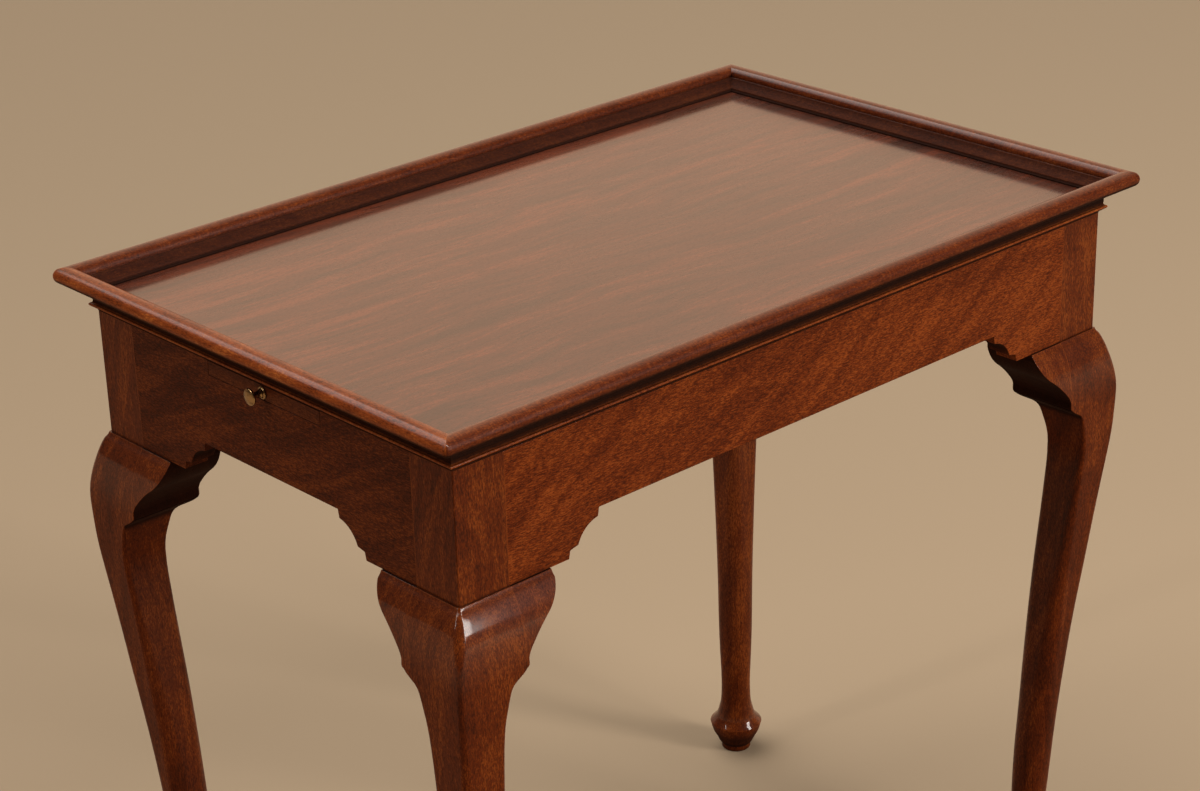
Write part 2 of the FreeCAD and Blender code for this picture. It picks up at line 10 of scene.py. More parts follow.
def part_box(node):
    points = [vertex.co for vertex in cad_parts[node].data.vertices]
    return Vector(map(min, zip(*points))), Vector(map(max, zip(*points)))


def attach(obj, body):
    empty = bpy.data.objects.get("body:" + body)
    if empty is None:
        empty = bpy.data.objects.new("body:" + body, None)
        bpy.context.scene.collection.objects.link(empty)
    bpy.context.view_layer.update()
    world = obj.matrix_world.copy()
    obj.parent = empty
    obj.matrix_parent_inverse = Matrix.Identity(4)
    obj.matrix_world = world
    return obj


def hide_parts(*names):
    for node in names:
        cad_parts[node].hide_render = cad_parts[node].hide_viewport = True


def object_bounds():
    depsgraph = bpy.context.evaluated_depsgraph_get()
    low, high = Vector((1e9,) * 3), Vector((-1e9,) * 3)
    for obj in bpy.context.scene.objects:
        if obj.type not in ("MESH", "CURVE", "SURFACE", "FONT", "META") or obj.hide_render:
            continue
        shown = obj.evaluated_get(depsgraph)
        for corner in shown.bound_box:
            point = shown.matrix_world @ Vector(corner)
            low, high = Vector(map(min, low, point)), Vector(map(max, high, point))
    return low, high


# A mahogany tea table with a tray top. The frame gives every solid in its place;
# this script sweeps the mouldings, eases the arrises of the wood, lays the grain
# of every board, and polishes the whole. Metres, Z up, the length along X.

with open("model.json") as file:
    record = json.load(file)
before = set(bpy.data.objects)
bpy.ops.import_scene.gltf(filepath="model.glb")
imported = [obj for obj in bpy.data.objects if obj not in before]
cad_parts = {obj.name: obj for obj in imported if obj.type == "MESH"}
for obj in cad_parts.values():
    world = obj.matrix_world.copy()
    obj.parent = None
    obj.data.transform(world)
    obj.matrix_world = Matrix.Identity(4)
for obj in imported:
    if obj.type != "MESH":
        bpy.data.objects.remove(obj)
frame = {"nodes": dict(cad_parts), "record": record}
cad_low, cad_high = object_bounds()

MM = 0.001
NODE_SLOTS = {part["node"]: part["material_slot"] for part in frame["record"]["subparts"]}
NODE_BODIES = {
    node: body
    for body, nodes in frame["record"]["behaviour"]["bodies"].items()
    for node in nodes
}
X, Y, Z = Vector((1, 0, 0)), Vector((0, 1, 0)), Vector((0, 0, 1))
SIDES = ("front", "right", "back", "left")
LONG_SIDES = ("front", "back")

# How far the arrises of each kind of wood are eased.
EASES = {
    "mahogany_panel": 0.35 * MM,
    "mahogany_rim": 0.25 * MM,
    "mahogany_rail": 0.40 * MM,
    "mahogany_leg": 0.45 * MM,
    "mahogany_bracket": 0.45 * MM,
    "slide_mahogany": 0.35 * MM,
}


# ---------------------------------------------------------- building node trees

def feed(tree, node, inputs):
    """Sets inputs of a node to a value each, or joins them to a socket."""
    for name, value in inputs.items():
        if isinstance(value, bpy.types.NodeSocket):
            tree.links.new(value, node.inputs[name])
        else:
            node.inputs[name].default_value = value


def put(tree, kind, settings=None, inputs=None):
    node = tree.nodes.new(kind)
    for name, value in (settings or {}).items():
        setattr(node, name, value)
    feed(tree, node, inputs or {})
    return node


def maths(tree, operation, first, second=0.0, clamp=False):
    settings = {"operation": operation, "use_clamp": clamp}
    return put(tree, "ShaderNodeMath", settings, {0: first, 1: second}).outputs[0]


def vector_maths(tree, operation, first, second):
    node = put(tree, "ShaderNodeVectorMath", {"operation": operation}, {0: first, 1: second})
    return node.outputs["Value" if operation == "DOT_PRODUCT" else "Vector"]


def added_up(tree, parts):
    total = parts[0]
    for part in parts[1:]:
        total = maths(tree, "ADD", total, part)
    return total


def kept_in_range(tree, value):
    return maths(tree, "ADD", value, 0.0, clamp=True)


def swing(tree, pattern, strength):
    """A pattern between 0 and 1, as a swing either way of none."""
    return maths(tree, "MULTIPLY", maths(tree, "SUBTRACT", pattern, 0.5), strength)


def mixed(tree, share, low, high):
    """A blend of two colours, which are inputs 6 and 7 of the node."""
    return put(tree, "ShaderNodeMix", {"data_type": "RGBA"}, {0: share, 6: low, 7: high}).outputs[2]


def ramped(tree, value, low, high, to_low=0.0, to_high=1.0):
    node = put(tree, "ShaderNodeMapRange", {"interpolation_type": "SMOOTHSTEP"},
               {"Value": value, "From Min": low, "From Max": high, "To Min": to_low, "To Max": to_high})
    return node.outputs["Result"]


def noise(tree, place, waves, detail, roughness=0.5, twist=0.0):
    return put(tree, "ShaderNodeTexNoise", None, {
        "Vector": place, "Scale": waves, "Detail": detail, "Roughness": roughness,
        "Distortion": twist}).outputs


def stretched_noise(tree, place, waves, detail=2.0, roughness=0.55, twist=0.0):
    """Noise with so many waves to the metre along, across and into the board."""
    scaled = vector_maths(tree, "MULTIPLY", place, waves)
    return noise(tree, scaled, 1.0, detail, roughness, twist)["Fac"]


def add_relief(tree, shader, strength, distance, height):
    bump = put(tree, "ShaderNodeBump", None, {"Strength": strength, "Distance": distance, "Height": height})
    feed(tree, shader, {"Normal": bump.outputs["Normal"]})


SOCKET_KINDS = {"value": "NodeSocketFloat", "colour": "NodeSocketColor", "vector": "NodeSocketVector"}


def new_group(name, inputs, outputs):
    """A shader node group, as (tree, its inputs by name, its output node).
    inputs and outputs give the kind of every socket by its name."""
    tree = bpy.data.node_groups.new(name, "ShaderNodeTree")
    for in_out, sockets in (("INPUT", inputs), ("OUTPUT", outputs)):
        for label, kind in sockets.items():
            tree.interface.new_socket(label, in_out=in_out, socket_type=SOCKET_KINDS[kind])
    return tree, tree.nodes.new("NodeGroupInput").outputs, tree.nodes.new("NodeGroupOutput")


def placed(tree, group, inputs):
    return put(tree, "ShaderNodeGroup", {"node_tree": group}, inputs).outputs


# --------------------------------------------------------- shared wood effects
# Grain is a place in the board: x runs along the grain, y across the face that
# shows, z into the wood.

# Waves to the metre along the grain, across it and into the wood.
BROAD_STREAKS, NARROW_STREAKS = (1.6, 42.0, 42.0), (9.0, 310.0, 310.0)
FLAMES = (6.0, 60.0, 30.0)
FLECKS, CROSS_MARKS = (260.0, 1150.0, 1150.0), (1000.0, 260.0, 260.0)
SHORT_PORES, LONG_PORES = (420.0, 2300.0, 2300.0), (240.0, 1350.0, 1350.0)
POLISH_CLOUDS, POLISH_RIPPLE = (14.0, 22.0, 22.0), (18.0, 90.0, 90.0)
RUBBING = (60.0, 900.0, 900.0)
WEAR_CLOUDS = (26.0, 60.0, 60.0)

# How far the grain wanders across and into the wood, and how often to the metre.
WANDER, WANDER_WAVES = (0.0, 0.05, 0.05), 4.0

# Where each noise starts to show and shows in full.
FLAME_SHOWS, MARK_SHOWS = (0.28, 0.72), (0.30, 0.70)
SHORT_PORE_SHOWS, LONG_PORE_SHOWS = (0.56, 0.68), (0.58, 0.70)
BROAD_WEIGHT, NARROW_WEIGHT = 1.5, 1.0
PORE_COLOUR = (0.016, 0.005, 0.002, 1)
PORE_FILLING = 0.75


def mahogany_figure():
    """Colour of a board: long streaks, a slanting flame, flecks, cross marks and pores."""
    tree, given, out = new_group("mahogany_figure", {
        "Grain": "vector", "Deep": "colour", "Body": "colour", "Flame": "colour",
        "Streaks": "value", "Flame Strength": "value", "Flame Turn": "value",
        "Flecks": "value", "Cross Marks": "value", "Pores": "value",
    }, {"Color": "colour", "Pore Mask": "value"})
    grain = given["Grain"]
    wander = noise(tree, grain, WANDER_WAVES, detail=2.0)["Color"]
    centred = vector_maths(tree, "SUBTRACT", wander, (0.5, 0.5, 0.5))
    bent = vector_maths(tree, "ADD", grain, vector_maths(tree, "MULTIPLY", centred, WANDER))

    broad = stretched_noise(tree, bent, BROAD_STREAKS, detail=3.0)
    narrow = stretched_noise(tree, bent, NARROW_STREAKS)
    turned = put(tree, "ShaderNodeVectorRotate", {"rotation_type": "Z_AXIS"},
                 {"Vector": bent, "Angle": given["Flame Turn"]}).outputs[0]
    slanting = stretched_noise(tree, turned, FLAMES, detail=3.0, roughness=0.6, twist=0.6)
    flame = ramped(tree, slanting, *FLAME_SHOWS)
    fleck = ramped(tree, stretched_noise(tree, grain, FLECKS, roughness=0.6), *MARK_SHOWS)
    cross = ramped(tree, stretched_noise(tree, grain, CROSS_MARKS, detail=1.0), *MARK_SHOWS)

    streaks = added_up(tree, [swing(tree, broad, BROAD_WEIGHT), swing(tree, narrow, NARROW_WEIGHT)])
    tone = added_up(tree, [
        maths(tree, "MULTIPLY", streaks, given["Streaks"]),
        swing(tree, flame, given["Flame Strength"]),
        swing(tree, fleck, given["Flecks"]),
        swing(tree, cross, given["Cross Marks"]),
    ])
    tone = maths(tree, "ADD", tone, 0.5, clamp=True)
    dark_half = mixed(tree, ramped(tree, tone, 0.0, 0.5), given["Deep"], given["Body"])
    colour = mixed(tree, ramped(tree, tone, 0.5, 1.0), dark_half, given["Flame"])

    short_pores = ramped(tree, stretched_noise(tree, grain, SHORT_PORES, detail=1.0), *SHORT_PORE_SHOWS)
    long_pores = ramped(tree, stretched_noise(tree, grain, LONG_PORES, detail=1.0), *LONG_PORE_SHOWS)
    pores = maths(tree, "MAXIMUM", short_pores, long_pores)
    filled = mixed(tree, PORE_FILLING, colour, PORE_COLOUR)
    share = maths(tree, "MULTIPLY", pores, given["Pores"], clamp=True)
    feed(tree, out, {"Color": mixed(tree, share, colour, filled), "Pore Mask": pores})
    return tree


# What each mark of the polish adds to its roughness and to its height.
PORE_ROUGHNESS, PORE_HEIGHT = 0.14, -0.55
RUBBING_ROUGHNESS, RUBBING_HEIGHT = 0.5, 0.12
RIPPLE_HEIGHT = 0.5


def hand_polish():
    """Roughness and height of a hand polished board, with its pores half filled."""
    tree, given, out = new_group("hand_polish", {
        "Grain": "vector", "Pore Mask": "value", "Roughness": "value", "Unevenness": "value",
    }, {"Roughness": "value", "Height": "value"})
    grain, pores = given["Grain"], given["Pore Mask"]
    clouds = stretched_noise(tree, grain, POLISH_CLOUDS, detail=3.0, roughness=0.6)
    rubbing = stretched_noise(tree, grain, RUBBING, detail=1.0)
    uneven = added_up(tree, [swing(tree, clouds, 1.0), swing(tree, rubbing, RUBBING_ROUGHNESS)])
    rough = added_up(tree, [
        given["Roughness"],
        maths(tree, "MULTIPLY", uneven, given["Unevenness"]),
        maths(tree, "MULTIPLY", pores, PORE_ROUGHNESS),
    ])
    ripple = stretched_noise(tree, grain, POLISH_RIPPLE)
    height = added_up(tree, [
        maths(tree, "MULTIPLY", pores, PORE_HEIGHT),
        maths(tree, "MULTIPLY", ripple, RIPPLE_HEIGHT),
        maths(tree, "MULTIPLY", rubbing, RUBBING_HEIGHT),
    ])
    feed(tree, out, {"Roughness": kept_in_range(tree, rough), "Height": height})
    return tree


# Each mask starts at the first value and is full at the second.
ARRIS_TURNS = (0.02, 0.16)
WITHIN_REACH = (0.80, 0.97)
WORN_CLOUDS = (0.30, 0.58)
# A crease this hemmed in is painted dark, with old wax and painted shade.
HEMMED_IN = (0.84, 0.40)
# Overhung places and faces that look down get painted shade.
OVERHUNG = (0.55, 0.15)
LOOKING_DOWN = (-0.10, -0.60)
CREASE_DISTANCE, SHELTER_DISTANCE = 5 * MM, 35 * MM
MASK_SAMPLES = 6


def wear_wax_and_painted_light():
    """Masks of the arrises that hands have rubbed, which also paint a highlight
    along them, of the creases that hold old wax and get painted shade, of the
    sheltered faces and undersides, where shade is painted, and of how far up a
    face looks, because what looks up gets polished."""
    tree, given, out = new_group("wear_wax_and_painted_light", {
        "Grain": "vector", "Reach": "value", "Painted Shade": "value",
    }, {"Worn And Highlit": "value", "Wax And Shade": "value", "Sheltered Shade": "value", "Rise": "value"})

    def openness(distance):
        return put(tree, "ShaderNodeAmbientOcclusion", {"samples": MASK_SAMPLES},
                   {"Distance": distance}).outputs["AO"]

    rounded = put(tree, "ShaderNodeBevel", {"samples": MASK_SAMPLES}, {"Radius": given["Reach"]}).outputs[0]
    normal = put(tree, "ShaderNodeNewGeometry").outputs["Normal"]
    turning = maths(tree, "SUBTRACT", 1.0, vector_maths(tree, "DOT_PRODUCT", rounded, normal))
    edge = ramped(tree, turning, *ARRIS_TURNS)
    near, around = openness(CREASE_DISTANCE), openness(SHELTER_DISTANCE)
    rise = put(tree, "ShaderNodeSeparateXYZ", None, {0: normal}).outputs["Z"]
    patchy = ramped(tree, stretched_noise(tree, given["Grain"], WEAR_CLOUDS, detail=3.0), *WORN_CLOUDS)
    # the rubbed arris mask, which stands for wear and also paints a highlight
    worn_and_highlit = maths(tree, "MULTIPLY", edge, ramped(tree, near, *WITHIN_REACH))
    # overhung places and faces looking down, where shade is painted
    sheltered = maths(tree, "MAXIMUM", ramped(tree, around, *OVERHUNG), ramped(tree, rise, *LOOKING_DOWN))
    # creases get old wax and painted shade, and marked hollows and sawn edges add to the painted shade
    feed(tree, out, {
        "Worn And Highlit": maths(tree, "MULTIPLY", worn_and_highlit, patchy),
        "Wax And Shade": ramped(tree, near, *HEMMED_IN),
        "Sheltered Shade": maths(tree, "MAXIMUM", sheltered, given["Painted Shade"]),
        "Rise": rise,
    })
    return tree


FIGURE = mahogany_figure()
POLISH = hand_polish()
WEAR_AND_LIGHT_MASKS = wear_wax_and_painted_light()


# ------------------------------------------------------------------- materials

ARRIS_REACH, KNOB_REACH = 1.6 * MM, 0.8 * MM
# The dark of old wax and of painted shade, in creases, hollows, overhung places and undersides.
WAX_AND_SHADE_COLOUR = (0.010, 0.0035, 0.0018, 1)
WAX_AND_SHADE_STRENGTH = 0.9
# Sheltered places go this far to that dark colour, as painted shade, and get this much rougher.
SHELTERED_SHADE_STRENGTH, SHELTERED_DULLER = 0.90, 0.45
GRAIN_RELIEF, METAL_RELIEF = 0.3 * MM, 0.1 * MM

# A place as sheltered as this has no polish left.
UNPOLISHED_SHELTER = 0.6

# How far up a face looks where the polish starts to come in, and where it is full.
EVERY_RISE = (-0.08, 0.35)
TOPMOST_RISE = (0.45, 0.98)


def new_material(name):
    material = bpy.data.materials.new(name)
    material.use_nodes = True
    tree = material.node_tree
    return material, tree, tree.nodes["Principled BSDF"]


def board_place(tree):
    """The place in the board, from the attribute that every polished piece carries."""
    return put(tree, "ShaderNodeAttribute", {"attribute_name": "grain"}).outputs["Vector"]


def painted_shade(tree):
    """How much painted shade a place gets in a hollow of a moulding or on a sawn
    edge, from the attribute that those pieces carry."""
    return put(tree, "ShaderNodeAttribute", {"attribute_name": "painted_shade"}).outputs["Fac"]


def solid_place(tree):
    """The place in a hidden or small part, whose grain runs along the table."""
    return put(tree, "ShaderNodeTexCoord").outputs["Object"]


def marks(streaks, flame, turn, flecks, cross_marks, pores):
    """How strong every mark of a figure is, and how far its flame slants."""
    return {"Streaks": streaks, "Flame Strength": flame, "Flame Turn": turn,
            "Flecks": flecks, "Cross Marks": cross_marks, "Pores": pores}


def board_of(deep, body, flame, its_marks):
    """A board's colours, from its darkest streaks to its brightest flame, and its
    marks, as inputs of the figure."""
    return {"Deep": (*deep, 1), "Body": (*body, 1), "Flame": (*flame, 1), **its_marks}


def finished_wood(name, board, rough, uneven, shine, coat, coat_rough, wear_and_highlight, relief,
                  polished=EVERY_RISE, gloss=1.5, place=board_place):
    """A board with its finish. shine is that of the wood itself; the coat of
    polish on it comes in between two values of how far up a face looks, and
    gloss is its IOR. wear_and_highlight is how far rubbed arrises go to the
    flame's colour, as wear and as a painted highlight. Creases, sheltered
    places, hollows and sawn edges go towards a dark colour: old wax in the
    creases, and painted shade in all of them."""
    material, tree, shader = new_material(name)
    grain = place(tree)
    wood = placed(tree, FIGURE, {"Grain": grain, **board})
    masks = placed(tree, WEAR_AND_LIGHT_MASKS, {"Grain": grain, "Reach": ARRIS_REACH, "Painted Shade": painted_shade(tree)})
    # rubbed arrises go towards the flame's colour: wear, and a painted highlight
    rubbed = mixed(tree, maths(tree, "MULTIPLY", masks["Worn And Highlit"], wear_and_highlight), wood["Color"], board["Flame"])
    # painted shade in overhung places, on undersides, in hollows and on sawn edges
    dim = mixed(tree, maths(tree, "MULTIPLY", masks["Sheltered Shade"], SHELTERED_SHADE_STRENGTH), rubbed, WAX_AND_SHADE_COLOUR)
    # old wax and painted shade in the creases
    waxed_and_shaded = mixed(tree, maths(tree, "MULTIPLY", masks["Wax And Shade"], WAX_AND_SHADE_STRENGTH), dim, WAX_AND_SHADE_COLOUR)
    surface = placed(tree, POLISH, {
        "Grain": grain, "Pore Mask": wood["Pore Mask"], "Roughness": rough, "Unevenness": uneven})
    dulled = maths(tree, "MULTIPLY", masks["Sheltered Shade"], SHELTERED_DULLER)
    feed(tree, shader, {
        "Base Color": waxed_and_shaded,
        "Roughness": maths(tree, "ADD", surface["Roughness"], dulled, clamp=True),
        "Specular IOR Level": shine,
        "Coat Roughness": coat_rough,
        "Coat IOR": gloss,
    })
    add_relief(tree, shader, relief, GRAIN_RELIEF, surface["Height"])
    if coat:
        open_coat = ramped(tree, masks["Sheltered Shade"], 0.0, UNPOLISHED_SHELTER, coat, 0.0)
        upward = ramped(tree, masks["Rise"], *polished)
        feed(tree, shader, {"Coat Weight": maths(tree, "MULTIPLY", open_coat, upward)})
    return material


BRASS_RUBBED, BRASS_DULL = (0.38, 0.235, 0.11, 1), (0.12, 0.065, 0.03, 1)
BRASS_CLOUDS, BRASS_CLOUD_SHOWS, BRASS_CLOUD_DEPTH = 420.0, (0.46, 0.72), 0.55
LATHE_MARKS = (9000.0, 500.0, 500.0)
BRASS_ROUGH, BRASS_DULL_ROUGHER, LATHE_ROUGHER = 0.15, 0.25, 0.10


def old_brass():
    """Turned brass, rubbed bright on the face and dull where fingers don't reach."""
    material, tree, shader = new_material("knob_brass")
    place = solid_place(tree)
    clouds = noise(tree, place, BRASS_CLOUDS, detail=3.0)["Fac"]
    lathe_marks = stretched_noise(tree, place, LATHE_MARKS, detail=1.0)
    masks = placed(tree, WEAR_AND_LIGHT_MASKS, {"Grain": place, "Reach": KNOB_REACH})
    cloudy = ramped(tree, clouds, *BRASS_CLOUD_SHOWS, 0.0, BRASS_CLOUD_DEPTH)
    dull = maths(tree, "MAXIMUM", cloudy, masks["Wax And Shade"])
    rougher = added_up(tree, [
        maths(tree, "MULTIPLY", dull, BRASS_DULL_ROUGHER),
        maths(tree, "MULTIPLY", lathe_marks, LATHE_ROUGHER),
    ])
    feed(tree, shader, {
        "Base Color": mixed(tree, dull, BRASS_RUBBED, BRASS_DULL),
        "Roughness": maths(tree, "ADD", rougher, BRASS_ROUGH),
        "Metallic": 1.0,
    })
    add_relief(tree, shader, 0.15, METAL_RELIEF, lathe_marks)
    return material


STEEL_CLEAN, STEEL_RUSTY = (0.36, 0.35, 0.33, 1), (0.11, 0.06, 0.035, 1)
RUST_SPOTS, RUST_SHOWS = 700.0, (0.55, 0.70)
STEEL_ROUGHNESS, STEEL_METALLIC = (0.38, 0.75), (1.0, 0.35)


def dull_steel():
    """Screws and studs with spots of rust, which are rough and hardly metal."""
    material, tree, shader = new_material("screw_steel")
    spots = noise(tree, solid_place(tree), RUST_SPOTS, detail=4.0)["Fac"]
    rust = ramped(tree, spots, *RUST_SHOWS)
    feed(tree, shader, {
        "Base Color": mixed(tree, rust, STEEL_CLEAN, STEEL_RUSTY),
        "Roughness": ramped(tree, rust, 0.0, 1.0, *STEEL_ROUGHNESS),
        "Metallic": ramped(tree, rust, 0.0, 1.0, *STEEL_METALLIC),
    })
    add_relief(tree, shader, 0.3, METAL_RELIEF, spots)
    return material


PANEL_MARKS = marks(streaks=1.40, flame=0.40, turn=0.25, flecks=0.35, cross_marks=0.10, pores=0.70)
RIM_MARKS = marks(streaks=0.45, flame=0.25, turn=0.50, flecks=0.45, cross_marks=0.30, pores=0.55)
PAINTED_LIGHT_RIM_MARKS = marks(streaks=0.75, flame=0.35, turn=0.50, flecks=0.45, cross_marks=0.15, pores=0.50)
LONG_RAIL_MARKS = marks(streaks=0.50, flame=0.50, turn=-0.60, flecks=0.85, cross_marks=0.15, pores=0.75)
END_RAIL_MARKS = marks(streaks=0.60, flame=0.60, turn=0.40, flecks=0.80, cross_marks=0.15, pores=0.75)
LEG_MARKS = marks(streaks=0.70, flame=0.45, turn=0.30, flecks=0.60, cross_marks=0.10, pores=0.75)
SLIDE_MARKS = marks(streaks=0.50, flame=0.35, turn=0.30, flecks=0.60, cross_marks=0.15, pores=0.70)
PLAIN_MARKS = marks(streaks=0.60, flame=0.10, turn=0.10, flecks=0.15, cross_marks=0.10, pores=0.35)

PANEL_BOARD = board_of(
    (0.024, 0.005, 0.002), (0.066, 0.013, 0.005), (0.150, 0.029, 0.010), PANEL_MARKS)
RIM_BOARD = board_of(
    (0.035, 0.006, 0.002), (0.105, 0.018, 0.004), (0.210, 0.046, 0.009), RIM_MARKS)
# The left rim's board is lighter than the other rims' as painted light, standing in for the stronger light
# on that side.
PAINTED_LIGHT_RIM_BOARD = board_of(
    (0.080, 0.014, 0.003), (0.230, 0.046, 0.009), (0.430, 0.120, 0.024), PAINTED_LIGHT_RIM_MARKS)
LIP_BOARD = board_of(
    (0.100, 0.016, 0.004), (0.270, 0.054, 0.010), (0.420, 0.110, 0.020), RIM_MARKS)
LONG_RAIL_BOARD = board_of(
    (0.080, 0.012, 0.002), (0.154, 0.026, 0.004), (0.276, 0.057, 0.009), LONG_RAIL_MARKS)
# The end rails' board is darker than the long rails', partly its own tone and partly painted shade for the
# dimmer light on the ends.
END_RAIL_BOARD = board_of(
    (0.040, 0.007, 0.002), (0.084, 0.014, 0.003), (0.160, 0.033, 0.006), END_RAIL_MARKS)
LEG_BOARD = board_of(
    (0.055, 0.009, 0.002), (0.116, 0.019, 0.003), (0.225, 0.048, 0.007), LEG_MARKS)
SLIDE_BOARD = board_of(
    (0.041, 0.007, 0.002), (0.084, 0.016, 0.004), (0.140, 0.031, 0.007), SLIDE_MARKS)
PLAIN_BOARD = board_of(
    (0.280, 0.150, 0.070), (0.400, 0.235, 0.115), (0.520, 0.330, 0.180), PLAIN_MARKS)

PANEL_WOOD = finished_wood(
    "panel_mahogany", PANEL_BOARD, rough=0.28, uneven=0.10, shine=0.35,
    coat=1.0, coat_rough=0.10, wear_and_highlight=0.25, relief=0.06, gloss=1.85)
RIM_WOOD = finished_wood(
    "rim_mahogany", RIM_BOARD, rough=0.34, uneven=0.12, shine=0.08,
    coat=0.90, coat_rough=0.12, wear_and_highlight=0.5, relief=0.12, polished=TOPMOST_RISE)
PAINTED_LIGHT_RIM_WOOD = finished_wood(
    "painted_light_rim_mahogany", PAINTED_LIGHT_RIM_BOARD, rough=0.34, uneven=0.12, shine=0.08,
    coat=0.65, coat_rough=0.12, wear_and_highlight=0.5, relief=0.12, polished=TOPMOST_RISE)
LIP_WOOD = finished_wood(
    "lip_mahogany", LIP_BOARD, rough=0.34, uneven=0.12, shine=0.06,
    coat=0.50, coat_rough=0.12, wear_and_highlight=0.5, relief=0.12)
LONG_RAIL_WOOD = finished_wood(
    "long_rail_mahogany", LONG_RAIL_BOARD, rough=0.42, uneven=0.14, shine=0.05,
    coat=0.30, coat_rough=0.20, wear_and_highlight=0.7, relief=0.20)
END_RAIL_WOOD = finished_wood(
    "end_rail_mahogany", END_RAIL_BOARD, rough=0.42, uneven=0.14, shine=0.05,
    coat=0.30, coat_rough=0.20, wear_and_highlight=0.7, relief=0.20)
LEG_WOOD = finished_wood(
    "leg_mahogany", LEG_BOARD, rough=0.38, uneven=0.14, shine=0.06,
    coat=0.75, coat_rough=0.07, wear_and_highlight=0.9, relief=0.10)
SLIDE_WOOD = finished_wood(
    "slide_mahogany", SLIDE_BOARD, rough=0.42, uneven=0.12, shine=0.05,
    coat=0.30, coat_rough=0.20, wear_and_highlight=0.7, relief=0.20)
INSIDE_WOOD = finished_wood(
    "plain_inside_wood", PLAIN_BOARD, rough=0.68, uneven=0.12, shine=0.35,
    coat=0.0, coat_rough=0.5, wear_and_highlight=0.3, relief=0.35, place=solid_place)

SLOT_MATERIALS = {
    "mahogany_panel": PANEL_WOOD,
    "mahogany_leg": LEG_WOOD,
    "mahogany_bracket": LEG_WOOD,
    "slide_mahogany": SLIDE_WOOD,
    "secondary_wood": INSIDE_WOOD,
    "knob_brass": old_brass(),
    "steel_screw": dull_steel(),
}


def finish_of(node):
    """The material of a node. Rails and mouldings come from differing boards; the left rim's board is
    lighter as painted light, and the end rails' board is darker partly as painted shade.
    """
    if node.startswith("rail"):
        return LONG_RAIL_WOOD if node.endswith(LONG_SIDES) else END_RAIL_WOOD
    if node.startswith("lip"):
        return LIP_WOOD
    if node.startswith("tray_rim"):
        return PAINTED_LIGHT_RIM_WOOD if node.endswith("left") else RIM_WOOD
    return SLOT_MATERIALS[NODE_SLOTS[node]]


# ----------------------------------------------------------- the wooden pieces

WELD = 0.002 * MM
FLAT = math.radians(0.2)

# An edge that turns by more than this is an arris. It lies along a glue line
# where most of its probes touch a neighbour, and then keeps a share of its ease.
ARRIS_ANGLE = math.radians(32)
NEIGHBOUR = 1 * MM
TOUCH = 0.15 * MM
PROBES = (0.1, 0.3, 0.5, 0.7, 0.9)
GLUE_LINE = 0.16

PASSING_ATTRIBUTES = (
    "custom_normal", "sharp_edge", "sharp_face", "UVMap", "inset", "height", "along", "arris")


def skin_of(node):
    """The frame node's mesh welded into one closed skin, its flat faces whole."""
    skin = bmesh.new()
    skin.from_mesh(frame["nodes"][node].data)
    bmesh.ops.remove_doubles(skin, verts=skin.verts, dist=WELD)
    bmesh.ops.dissolve_limit(skin, angle_limit=FLAT, verts=skin.verts, edges=skin.edges)
    return skin


def bare_mesh(name, skin):
    """A smooth mesh from a skin, without what the frame's file left on it."""
    mesh = bpy.data.meshes.new(name)
    skin.to_mesh(mesh)
    skin.free()
    for passing in PASSING_ATTRIBUTES:
        if passing in mesh.attributes:
            mesh.attributes.remove(mesh.attributes[passing])
    mesh.shade_smooth()
    return mesh


def surfaces_by_node():
    """The surface of every polished node, for finding where two of them touch."""
    surfaces = {}
    for node, slot in NODE_SLOTS.items():
        if slot in EASES:
            skin = skin_of(node)
            surfaces[node] = BVHTree.FromBMesh(skin)
            skin.free()
    return surfaces


def boxes_meet(box, other_box):
    """Whether two boxes touch, or nearly do."""
    (low, high), (other_low, other_high) = box, other_box
    return all(
        other_low[i] <= high[i] + NEIGHBOUR and other_high[i] >= low[i] - NEIGHBOUR
        for i in range(3))


def weigh_arrises(node, skin, surfaces):
    """A free arris is rounded over in full, and one along a glue line hardly."""
    weight = skin.edges.layers.float.new("bevel_weight_edge")
    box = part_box(node)
    near = []
    for other, surface in surfaces.items():
        if other != node and boxes_meet(box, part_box(other)):
            near.append(surface)
    for edge in skin.edges:
        if len(edge.link_faces) != 2 or edge.calc_face_angle(0.0) < ARRIS_ANGLE:
            continue
        start, end = (corner.co for corner in edge.verts)
        probes = [start.lerp(end, share) for share in PROBES]
        touching = sum(any(surface.find_nearest(probe, TOUCH)[0] for surface in near) for probe in probes)
        edge[weight] = GLUE_LINE if 2 * touching > len(probes) else 1.0


def made_plain(piece):
    """Turns what a piece's modifiers make into its own mesh, and removes them."""
    graph = bpy.context.evaluated_depsgraph_get()
    mesh = bpy.data.meshes.new_from_object(piece.evaluated_get(graph))
    piece.modifiers.clear()
    piece.data = mesh
    return piece


def new_object(name, data):
    """An object in the scene, at the origin."""
    thing = bpy.data.objects.new(name, data)
    bpy.context.scene.collection.objects.link(thing)
    return thing


def true_faces(piece):
    """Lets large faces set the normals, so that they look flat up to their edges."""
    weighted = piece.modifiers.new("true_faces", "WEIGHTED_NORMAL")
    weighted.keep_sharp = True
    return made_plain(piece)


def eased(node, surfaces):
    """A piece of wood in the shape of a frame node, with its arrises rounded over."""
    skin = skin_of(node)
    weigh_arrises(node, skin, surfaces)
    piece = new_object(node + "_wood", bare_mesh(node + "_wood", skin))
    bevel = piece.modifiers.new("eased_arrises", "BEVEL")
    bevel.width = EASES[NODE_SLOTS[node]]
    bevel.segments = 2
    bevel.limit_method = "WEIGHT"
    bevel.harden_normals = True
    return true_faces(piece)


# -------------------------------------------------------------- the mouldings
# A moulding is its own section, read where the frame's solid is mitred, swept
# along its side in Geometry Nodes and sheared to the mitres.

